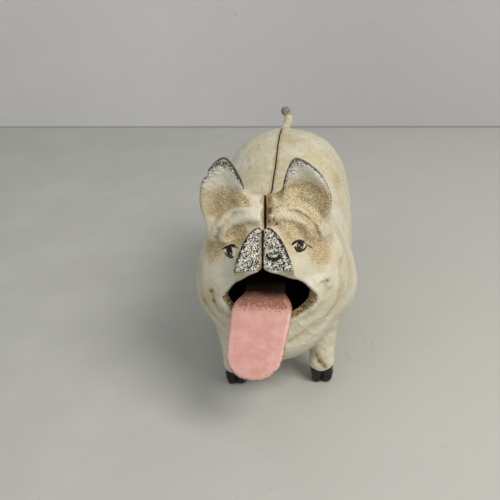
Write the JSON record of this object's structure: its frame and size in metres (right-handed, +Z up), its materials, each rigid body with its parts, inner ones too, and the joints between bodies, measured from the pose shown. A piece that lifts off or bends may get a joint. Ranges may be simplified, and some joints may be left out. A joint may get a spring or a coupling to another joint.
{
  "type": "pig coin bank",
  "caption": "Hollow cast iron pig money bank in two halves, whose tail lever lifts a hinged tongue plate to tip a coin into the open mouth.",
  "frame": {"origin": "on the ground under the middle of the bank, from the tongue's tip to the rump", "axes": "+Z up, the pig faces -Y, and its left side is +X"},
  "size_m": [0.08, 0.19, 0.121],
  "materials": {
    "cream_paint": "gloss cream enamel over cast iron, antiqued brown in the hollows and black on the snout, ears and hooves",
    "pink_paint": "gloss pink enamel over cast iron, chipped at the tip",
    "bare_iron": "dark oiled cast iron",
    "steel": "plain steel, lightly tarnished"
  },
  "bodies": {
    "body": {"body_half_left": "cream_paint", "body_half_right": "cream_paint", "tongue_pin": "steel", "tongue_spacer_right": "steel", "tongue_spacer_left": "steel", "tail_pin": "steel", "tail_spacer_right": "steel", "tail_spacer_left": "steel", "body_screw_front": "steel", "body_screw_rear": "steel", "trap_cover": "bare_iron", "trap_bridge": "bare_iron", "trap_screw": "steel"},
    "tongue": {"tongue": "pink_paint"},
    "tail": {"tail_lever": "cream_paint"},
    "link": {"link_rod": "steel"}
  },
  "joints": [
    {"name": "tongue_lift", "type": "hinge", "parent": "body", "child": "tongue", "pos_m": [0, -0.0615, 0.04], "axis": [-1, 0, 0], "range_deg": [0, 58]},
    {"name": "tail_pull", "type": "hinge", "parent": "body", "child": "tail", "pos_m": [0, 0.069, 0.08], "axis": [-1, 0, 0], "range_deg": [0, 58]},
    {"name": "link_swing", "type": "hinge", "parent": "tail", "child": "link", "pos_m": [0, 0.07827, 0.07625], "axis": [-1, 0, 0], "range_deg": [-58, 0]}
  ],
  "couplings": [
    {"joint": "tail_pull", "follows": "tongue_lift", "ratio": 1},
    {"joint": "link_swing", "follows": "tongue_lift", "ratio": -1}
  ]
}
